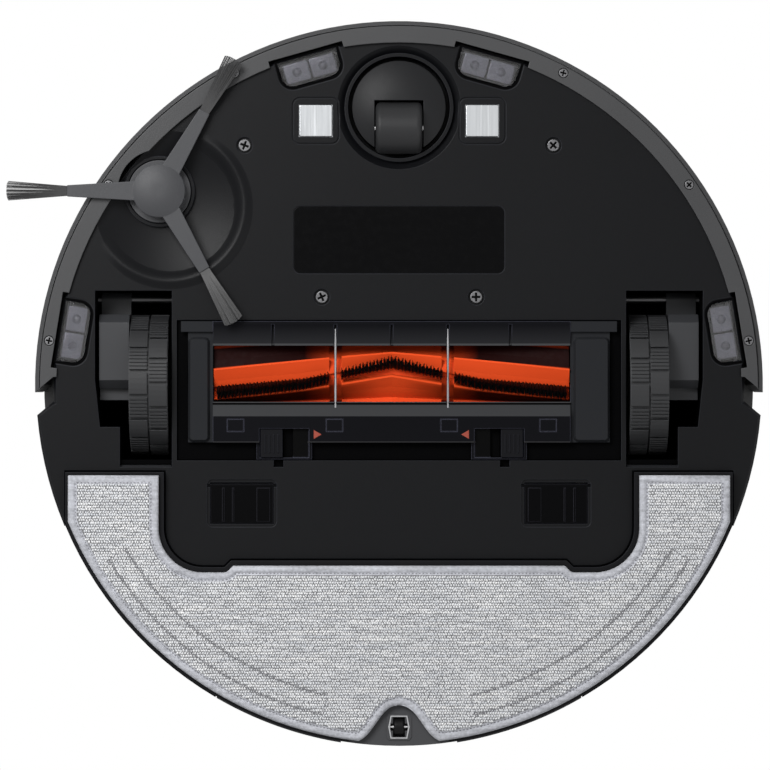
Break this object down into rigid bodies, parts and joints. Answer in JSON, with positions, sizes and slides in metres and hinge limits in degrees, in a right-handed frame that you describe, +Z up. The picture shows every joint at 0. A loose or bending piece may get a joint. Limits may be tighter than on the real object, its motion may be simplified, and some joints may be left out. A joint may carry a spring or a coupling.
{
  "type": "robot vacuum",
  "caption": "Round robot vacuum with bristle roller, side brush, sprung drive wheels, swivel caster, laser turret, push-in bumper and slide-on mop module with water tank.",
  "frame": {"origin": "on the floor under the axis of the round body", "axes": "+Z up from the floor, -Y towards the bumper at the front, +X towards the machine's own left side"},
  "size_m": [0.3634, 0.3495, 0.097],
  "materials": {
    "chassis_black": "fine satin texture",
    "cover_grey": "satin",
    "bumper_grey": "satin",
    "shell_gloss": "gloss black",
    "dark_window": "dark infrared window",
    "screw_steel": "plain steel",
    "clear_window": "clear grey",
    "contact_metal": "brushed, bright",
    "brush_red": "soft satin",
    "bristle_black": "nylon bristle",
    "hub_black": "satin",
    "arm_grey": "satin",
    "tyre_rubber": "soft tread",
    "wheel_plastic": "satin",
    "flap_black": "matt",
    "mop_cloth": "knitted microfibre",
    "tank_smoke": "smoked",
    "button_gloss": "gloss",
    "inner_black": "matt",
    "motor_metal": "plain",
    "box_smoke": "smoked",
    "filter_paper": "pleated filter",
    "board_green": "circuit board"
  },
  "bodies": {
    "chassis": {"lower_chassis": "chassis_black", "upper_shell": "shell_gloss", "chassis_screws": "screw_steel", "cliff_windows": "clear_window", "cliff_sensors": "inner_black", "charging_contacts": "contact_metal", "caster_socket": "chassis_black", "side_brush_gearbox": "inner_black", "brush_housing": "inner_black", "brush_cover": "cover_grey", "guard_wires": "screw_steel", "left_brush_bearing": "cover_grey", "right_brush_bearing": "cover_grey", "brush_motor": "motor_metal", "left_wheel_case": "chassis_black", "right_wheel_case": "chassis_black", "left_pivot_pin": "screw_steel", "right_pivot_pin": "screw_steel", "port_ducts": "inner_black", "turret_base": "shell_gloss", "turret_posts": "shell_gloss", "turret_cap": "shell_gloss", "dust_box": "box_smoke", "dust_box_cover": "box_smoke", "dust_filter": "filter_paper", "suction_fan": "inner_black", "battery_pack": "inner_black", "main_board": "board_green"},
    "bumper": {"bumper": "bumper_grey", "bumper_window": "dark_window", "bumper_screws": "screw_steel"},
    "caster_swivel": {"caster_dome": "chassis_black", "caster_axle": "screw_steel"},
    "caster_wheel": {"caster_wheel": "wheel_plastic"},
    "side_brush": {"side_brush_hub": "hub_black", "side_brush_bristles": "bristle_black"},
    "main_brush": {"brush_roller": "brush_red", "brush_bristles": "bristle_black"},
    "left_arm": {"left_wheel_arm": "arm_grey"},
    "right_arm": {"right_wheel_arm": "arm_grey"},
    "left_wheel": {"left_tyre": "tyre_rubber", "left_wheel_hub": "arm_grey", "left_wheel_axle": "screw_steel"},
    "right_wheel": {"right_tyre": "tyre_rubber", "right_wheel_hub": "arm_grey", "right_wheel_axle": "screw_steel"},
    "left_latch": {"left_latch": "cover_grey"},
    "right_latch": {"right_latch": "cover_grey"},
    "left_port_flap": {"left_port_flap": "flap_black"},
    "right_port_flap": {"right_port_flap": "flap_black"},
    "mop_module": {"mop_plate": "chassis_black", "mop_pad": "mop_cloth", "water_tank": "tank_smoke", "rear_roller_axle": "screw_steel"},
    "rear_roller": {"rear_roller": "wheel_plastic"},
    "top_lid": {"top_lid": "shell_gloss"},
    "power_button": {"power_button": "button_gloss"},
    "home_button": {"home_button": "button_gloss"},
    "lidar_head": {"lidar_head": "inner_black"}
  },
  "joints": [
    {"name": "bumper_press", "type": "slide", "parent": "chassis", "child": "bumper", "axis": [0, 1, 0], "range_m": [0, 0.004], "stiffness_N_per_m": 400, "springref_m": -0.002},
    {"name": "caster_swivel", "type": "hinge", "parent": "chassis", "child": "caster_swivel", "pos_m": [0, -0.1334, 0.02], "axis": [0, 0, 1], "continuous": true},
    {"name": "caster_roll", "type": "hinge", "parent": "caster_swivel", "child": "caster_wheel", "pos_m": [0, -0.1236, 0.0125], "axis": [1, 0, 0], "continuous": true},
    {"name": "side_brush_spin", "type": "hinge", "parent": "chassis", "child": "side_brush", "pos_m": [-0.1152, -0.0931, 0.02], "axis": [0, 0, 1], "continuous": true},
    {"name": "main_brush_spin", "type": "hinge", "parent": "chassis", "child": "main_brush", "pos_m": [-0.0035, -0.005, 0.0265], "axis": [1, 0, 0], "continuous": true},
    {"name": "left_suspension", "type": "hinge", "parent": "chassis", "child": "left_arm", "pos_m": [0.1276, -0.0415, 0.04], "axis": [-1, 0, 0], "range_deg": [0, 24], "stiffness_Nm_per_rad": 0.28, "springref_deg": 34.38},
    {"name": "left_wheel_spin", "type": "hinge", "parent": "left_arm", "child": "left_wheel", "pos_m": [0.1202, 0, 0.034], "axis": [1, 0, 0], "continuous": true},
    {"name": "left_latch_slide", "type": "slide", "parent": "chassis", "child": "left_latch", "axis": [-1, 0, 0], "range_m": [0, 0.004], "stiffness_N_per_m": 300, "springref_m": -0.002},
    {"name": "left_port_flap_swing", "type": "hinge", "parent": "chassis", "child": "left_port_flap", "pos_m": [0.0755, 0.0483, 0.012], "axis": [-1, 0, 0], "range_deg": [0, 70], "stiffness_Nm_per_rad": 0.01, "springref_deg": -20.05},
    {"name": "right_suspension", "type": "hinge", "parent": "chassis", "child": "right_arm", "pos_m": [-0.1276, -0.0415, 0.04], "axis": [-1, 0, 0], "range_deg": [0, 24], "stiffness_Nm_per_rad": 0.28, "springref_deg": 34.38},
    {"name": "right_wheel_spin", "type": "hinge", "parent": "right_arm", "child": "right_wheel", "pos_m": [-0.1202, 0, 0.034], "axis": [1, 0, 0], "continuous": true},
    {"name": "right_latch_slide", "type": "slide", "parent": "chassis", "child": "right_latch", "axis": [1, 0, 0], "range_m": [0, 0.004], "stiffness_N_per_m": 300, "springref_m": -0.002},
    {"name": "right_port_flap_swing", "type": "hinge", "parent": "chassis", "child": "right_port_flap", "pos_m": [-0.0755, 0.0483, 0.012], "axis": [-1, 0, 0], "range_deg": [0, 70], "stiffness_Nm_per_rad": 0.01, "springref_deg": -20.05},
    {"name": "mop_slide", "type": "slide", "parent": "chassis", "child": "mop_module", "axis": [0, 1, 0], "range_m": [0, 0.12]},
    {"name": "rear_roller_spin", "type": "hinge", "parent": "mop_module", "child": "rear_roller", "pos_m": [0, 0.164, 0.0074], "axis": [1, 0, 0], "continuous": true},
    {"name": "top_lid_lift", "type": "hinge", "parent": "chassis", "child": "top_lid", "pos_m": [0, 0.031, 0.077], "axis": [1, 0, 0], "range_deg": [0, 75]},
    {"name": "power_button_press", "type": "slide", "parent": "chassis", "child": "power_button", "axis": [0, 0, -1], "range_m": [0, 0.0008], "stiffness_N_per_m": 800, "springref_m": -0.0005},
    {"name": "home_button_press", "type": "slide", "parent": "chassis", "child": "home_button", "axis": [0, 0, -1], "range_m": [0, 0.0008], "stiffness_N_per_m": 800, "springref_m": -0.0005},
    {"name": "lidar_spin", "type": "hinge", "parent": "chassis", "child": "lidar_head", "pos_m": [0, -0.025, 0.082], "axis": [0, 0, 1], "continuous": true}
  ]
}
